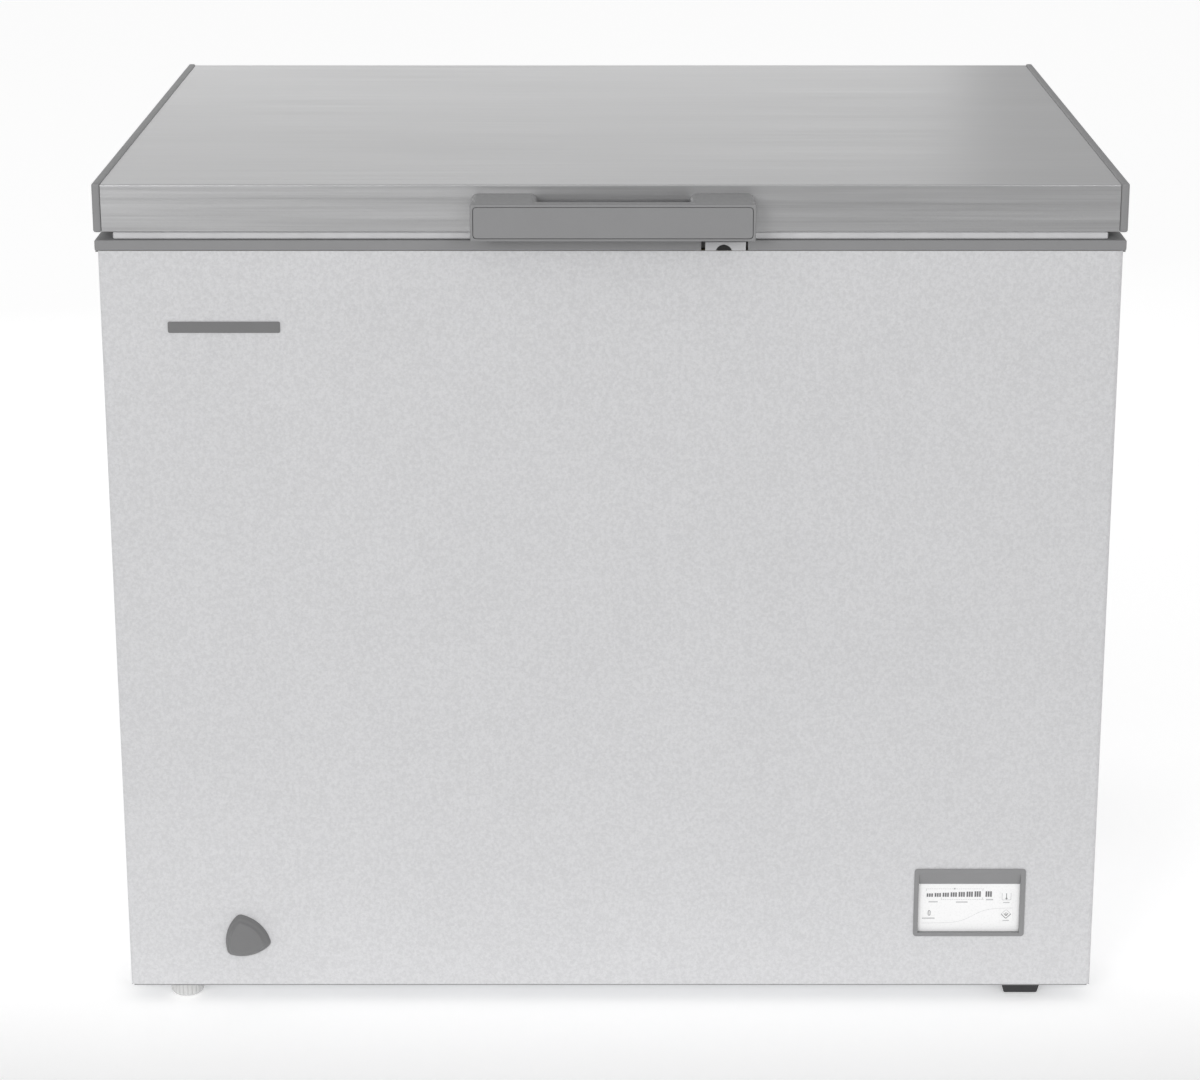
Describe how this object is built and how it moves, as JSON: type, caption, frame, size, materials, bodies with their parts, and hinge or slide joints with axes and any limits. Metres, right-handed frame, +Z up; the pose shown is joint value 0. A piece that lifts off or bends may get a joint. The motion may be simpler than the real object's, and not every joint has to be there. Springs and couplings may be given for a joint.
{
  "type": "chest freezer",
  "caption": "Free-standing chest freezer: foamed steel cabinet on levelling feet, hinged steel lid with a front handle and lock, hanging basket, front control panel and pull-out drain.",
  "frame": {"origin": "under the middle of the whole object's box, on the floor the feet stand on", "axes": "+X to the right seen from the front, +Y from the front to the back, +Z up; the handle and the controls face -Y"},
  "size_m": [0.984, 0.777, 0.845],
  "materials": {
    "body_paint": "satin",
    "lid_steel": "satin",
    "grey_plastic": "satin",
    "light_plastic": "satin",
    "knob_plastic": "satin",
    "dark_plastic": "matte",
    "white_plastic": "satin",
    "gasket_rubber": "matte",
    "black_rubber": "matte",
    "liner_white": "satin",
    "foam": "matte",
    "galvanised": "satin",
    "compressor_black": "satin",
    "copper": "satin",
    "face_white": "gloss",
    "board_green": "satin",
    "chrome_steel": "gloss",
    "wire_white": "satin"
  },
  "bodies": {
    "cabinet": {"back_panel": "galvanised", "base_pan": "galvanised", "cabinet_wrapper": "body_paint", "capillary_tube": "copper", "compressor": "compressor_black", "compressor_grommet_1": "black_rubber", "compressor_grommet_2": "black_rubber", "compressor_grommet_3": "black_rubber", "compressor_grommet_4": "black_rubber", "compressor_mount_plate": "galvanised", "compressor_tray": "galvanised", "condenser_coil": "copper", "control_bezel": "grey_plastic", "control_board": "board_green", "control_face": "face_white", "discharge_pipe": "copper", "drain_channel": "white_plastic", "evaporator_coil": "copper", "filter_drier": "copper", "foot_front_right": "dark_plastic", "foot_rear_right": "dark_plastic", "hinge_bracket_left": "galvanised", "hinge_bracket_right": "galvanised", "hinge_pin_left": "chrome_steel", "hinge_pin_right": "chrome_steel", "hinge_spring_left": "chrome_steel", "hinge_spring_right": "chrome_steel", "inner_liner": "liner_white", "insulation_foam": "foam", "liquid_line": "copper", "lock_housing": "light_plastic", "name_plate": "knob_plastic", "power_inlet_gland": "black_rubber", "rear_bay_cover": "galvanised", "side_vent_grille": "light_plastic", "suction_pipe": "copper", "terminal_box": "dark_plastic", "top_trim_frame": "grey_plastic"},
    "lid": {"lid_skin": "lid_steel", "lid_cap_left": "grey_plastic", "lid_cap_right": "grey_plastic", "lid_liner": "liner_white", "lid_foam": "foam", "lid_gasket": "gasket_rubber", "handle_frame": "grey_plastic", "handle_insert": "grey_plastic", "hinge_arm_left": "galvanised", "hinge_arm_right": "galvanised", "lock_keeper": "galvanised", "lid_edge_frame": "liner_white"},
    "lock": {"lock_barrel": "dark_plastic", "lock_cam": "galvanised"},
    "drain_spout": {"drain_spout": "knob_plastic"},
    "drain_knob": {"drain_knob": "knob_plastic"},
    "inner_drain_plug": {"inner_drain_plug": "grey_plastic"},
    "set_button": {"set_button": "face_white"},
    "freeze_button": {"freeze_button": "face_white"},
    "foot_front_left": {"foot_front_left": "white_plastic"},
    "foot_rear_left": {"foot_rear_left": "white_plastic"},
    "basket": {"basket": "wire_white"}
  },
  "joints": [
    {"name": "lid_hinge", "type": "hinge", "parent": "cabinet", "child": "lid", "pos_m": [0, 0.3715, 0.786], "axis": [-1, 0, 0], "range_deg": [0, 80], "stiffness_Nm_per_rad": 6, "springref_deg": 79.98},
    {"name": "lock_turn", "type": "hinge", "parent": "cabinet", "child": "lock", "pos_m": [0.108, -0.3457, 0.783], "axis": [0, 1, 0], "range_deg": [0, 90]},
    {"name": "drain_pull", "type": "slide", "parent": "cabinet", "child": "drain_spout", "axis": [0, -1, 0], "range_m": [0, 0.02]},
    {"name": "drain_turn", "type": "hinge", "parent": "drain_spout", "child": "drain_knob", "pos_m": [-0.37, -0.3455, 0.069], "axis": [0, -1, 0], "range_deg": [0, 180]},
    {"name": "plug_lift", "type": "slide", "parent": "cabinet", "child": "inner_drain_plug", "axis": [0, 0, 1], "range_m": [0, 0.03]},
    {"name": "set_press", "type": "slide", "parent": "cabinet", "child": "set_button", "axis": [0, 1, 0], "range_m": [0, 0.0008], "stiffness_N_per_m": 800, "springref_m": -0.0006},
    {"name": "freeze_press", "type": "slide", "parent": "cabinet", "child": "freeze_button", "axis": [0, 1, 0], "range_m": [0, 0.0008], "stiffness_N_per_m": 800, "springref_m": -0.0006},
    {"name": "foot_front_left_turn", "type": "hinge", "parent": "cabinet", "child": "foot_front_left", "pos_m": [-0.434, -0.327, 0], "axis": [0, 0, 1], "continuous": true},
    {"name": "foot_rear_left_turn", "type": "hinge", "parent": "cabinet", "child": "foot_rear_left", "pos_m": [-0.434, 0.327, 0], "axis": [0, 0, 1], "continuous": true},
    {"name": "basket_slide", "type": "slide", "parent": "cabinet", "child": "basket", "axis": [-1, 0, 0], "range_m": [0, 0.58]}
  ]
}
